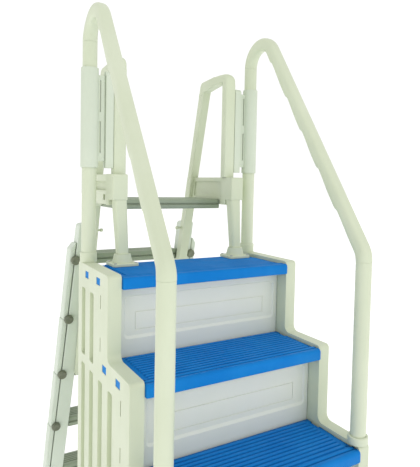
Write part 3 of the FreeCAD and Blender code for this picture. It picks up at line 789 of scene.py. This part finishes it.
def loop_corners():
    """Rounded elbow on each upright, and a collar below the far corner of each grab loop."""
    y1, z0, z1 = limits("corner_elbow_right")[3:]
    gx0, gx1 = limits("grab_handle_right")[:2]
    gz1 = limits("grab_handle_right")[5]
    ux0, ux1, uy0, uy1 = limits("frame_upright_right")[:4]
    top = z1
    turns = [((uy0, z0), (uy1, z0), 0.0), ((uy0, z0 + 6), (uy1, z0 + 1.5), 0.02)]
    for k in range(9):
        a = math.radians(90 * k / 8)
        outer = (uy0 + 24 * (1 - math.cos(a)), top - 26 + 24 * math.sin(a))
        inner = (uy1 + 3 * (1 - math.cos(a)), z0 + 3 + 2.5 * math.sin(a))
        turns.append((outer, inner, 0.05 + 0.45 * k / 8))
    for k in range(1, 7):
        y = uy0 + 24 + (y1 - uy0 - 24) * k / 6
        yi = uy1 + 3 + (y1 - uy1 - 3) * k / 6
        turns.append(((y, top - 2 - 1.6 * k / 6), (yi, z0 + 5.5 - 0.5 * k / 6), 0.5 + 0.5 * k / 6))
    rings = []
    for outer, inner, t in turns:
        outer, inner = Vector(outer), Vector(inner)
        x = (ux0 + ux1) / 2 + ((gx0 + gx1) / 2 - (ux0 + ux1) / 2) * smooth(t)
        wide = (ux1 - ux0) / 2 - 0.3 + ((gx1 - gx0) / 2 + 0.8 - (ux1 - ux0) / 2) * smooth(t)
        square = 5.0 - 2.4 * math.sin(math.pi * min(1, t * 1.4))
        rings.append(rounded_ring((x, wide, (outer + inner) / 2, (outer - inner) / 2), max(2.6, square), 36))
    both("loop_elbow", loft(rings), IVORY, "frame", "ivory_plastic", ["corner_elbow"], bevel=0.8, angle=50)
    bars = []
    low = gz1 - 62
    for lift, grow in ((0, 0.2), (1.2, 1.6), (12.5, 1.6), (13.7, 0.2)):
        z = low + lift
        bars.append(rounded_ring(((gx0 + gx1) / 2, (gx1 - gx0) / 2 + grow, Vector((guide_y(z), z)),
                                  Vector((18.0 + grow, -LEAN * (18.0 + grow)))), 6.0, 36))
    both("loop_collar", loft(bars), IVORY, "frame", "ivory_plastic", bevel=0.5, angle=50)


loop_corners()


def cover_strips():
    """Outboard covers of the outside rails: each narrows downwards; the last ends in a round lobe."""
    for side, sign in SIDES:
        strips = []
        for i in range(STEPS - 1):
            high = STEP_Z - STEP_PITCH * i + (72 if i == 0 else -1)
            low = STEP_Z - STEP_PITCH * (i + 1) - (30 if i == STEPS - 2 else 0)
            stops = [low + k for k in (0.0, 1.5, 4.0, 8.0, 13.0, 20.0)]
            stops += [low + 20 + (high - low - 52) * k / 8 for k in range(1, 9)]
            stops += [high - k for k in (24.0, 18.0, 12.0, 6.0, 2.0, 0.0)]
            rings = []
            for z in stops:
                seam = seam_x(z)
                inner = seam + 2.2
                outer = seam + 24.6 + 2.6 * (z - low) / (high - low)
                squeeze = 0.0
                if i == STEPS - 2 and z < low + 20:
                    k = (low + 20 - z) / 20.0
                    squeeze = 1 - math.sqrt(max(0.0, 1 - k * k)) * 0.96
                elif z < low + 4:
                    squeeze = 0.12 * (1 - (z - low) / 4)
                if i == 0 and z > high - 24:
                    outer -= 0.72 * (z - high + 24)
                if z > high - 3:
                    squeeze = 0.10
                half = (outer - inner) / 2 * (1 - squeeze)
                middle = (outer + inner) / 2
                y = guide_y(z) + 18.0 + 4.0 + 1.0 + RAIL_HALF
                deep = Vector((RAIL_HALF - 6 * squeeze, 0))
                rings.append(rounded_ring((middle, half, Vector((y, z)), deep), 5.0, 32))
            strips.append(loft(rings))
        bm = join(strips)
        piece("cover_strips_" + side, bm, OUTSIDE, "step_section", "ivory_plastic", ["rail_covers_" + side],
              side=sign, bevel=0.6, angle=50)
        bm.free()


cover_strips()


# ---------------------------------------------------------------- CAD nodes that are kept
for i in (1, 2):
    dress("rear_brace_%d" % i, IVORY, 1.0)
dress("base_pads", RUBBER, 1.0)
dress("flange_screws", STEEL, 0.5)
for side, sign in SIDES:
    for name, width in (("back_post", 1.0), ("front_post", 1.0), ("back_socket", 1.2), ("front_socket", 1.2),
                        ("connector_sleeve", 1.2), ("slide_channel", 1.6), ("frame_upright", 1.0),
                        ("grab_handle", 1.2), ("platform_bracket", 1.2), ("deck_leg", 1.2),
                        ("deck_flange", 1.2), ("guide_rail", 2.0), ("step_rail", 1.5)):
        material = SLEEVE if name in ("connector_sleeve", "slide_channel") else IVORY
        if name == "step_rail":
            material = OUTSIDE
        dress(name + "_" + side, material, width)
    dress("rail_foot_" + side, RUBBER, 1.5)
    dress("lock_pin_" + side, IVORY, 0.6)


# ---------------------------------------------------------------- floor and light
def studio():
    """Pale floor, even white surroundings and three soft lamps."""
    bm = bmesh.new()
    bmesh.ops.create_grid(bm, x_segments=2, y_segments=2, size=60)
    mesh = bpy.data.meshes.new("floor")
    bm.to_mesh(mesh)
    bm.free()
    floor = bpy.data.objects.new("floor", mesh)
    floor.location = (0, 0, CAD_BOX[0].z - 0.0005)
    bpy.context.scene.collection.objects.link(floor)
    n = Nodes("pale_floor")
    n.shader.inputs["Specular IOR Level"].default_value = 0.1
    n.out(n.mix(n.noise(2.0), (0.90, 0.90, 0.90), (0.93, 0.93, 0.93)), "Base Color")
    n.shader.inputs["Roughness"].default_value = 0.9
    n.shader.inputs["Emission Color"].default_value = (1, 1, 1, 1)
    n.shader.inputs["Emission Strength"].default_value = 0.42
    mesh.materials.append(n.material)

    world = bpy.data.worlds.new("studio")
    world.use_nodes = True
    tree = world.node_tree
    back = tree.nodes["Background"]
    path = tree.nodes.new("ShaderNodeLightPath")
    strength = tree.nodes.new("ShaderNodeMapRange")
    tree.links.new(path.outputs["Is Camera Ray"], strength.inputs[0])
    strength.inputs[3].default_value = 0.80
    strength.inputs[4].default_value = 1.05
    tree.links.new(strength.outputs[0], back.inputs["Strength"])
    back.inputs["Color"].default_value = (1, 1, 1, 1)
    bpy.context.scene.world = world

    middle = (CAD_BOX[0] + CAD_BOX[1]) / 2
    for name, azimuth, elevation, distance, size, power in (
            ("key", 10, 35, 9.0, 6.0, 90), ("fill", -75, 25, 9.0, 6.0, 20), ("rim", 160, 50, 9.0, 6.0, 30)):
        data = bpy.data.lights.new(name, "AREA")
        data.shape = "DISK"
        data.size = size
        data.energy = power
        lamp = bpy.data.objects.new(name, data)
        a, e = math.radians(azimuth), math.radians(elevation)
        away = Vector((math.sin(a) * math.cos(e), -math.cos(a) * math.cos(e), math.sin(e)))
        lamp.location = middle + away * distance
        lamp.rotation_euler = away.to_track_quat("Z", "Y").to_euler()
        bpy.context.scene.collection.objects.link(lamp)
    bpy.context.scene.view_settings.view_transform = "Standard"


studio()
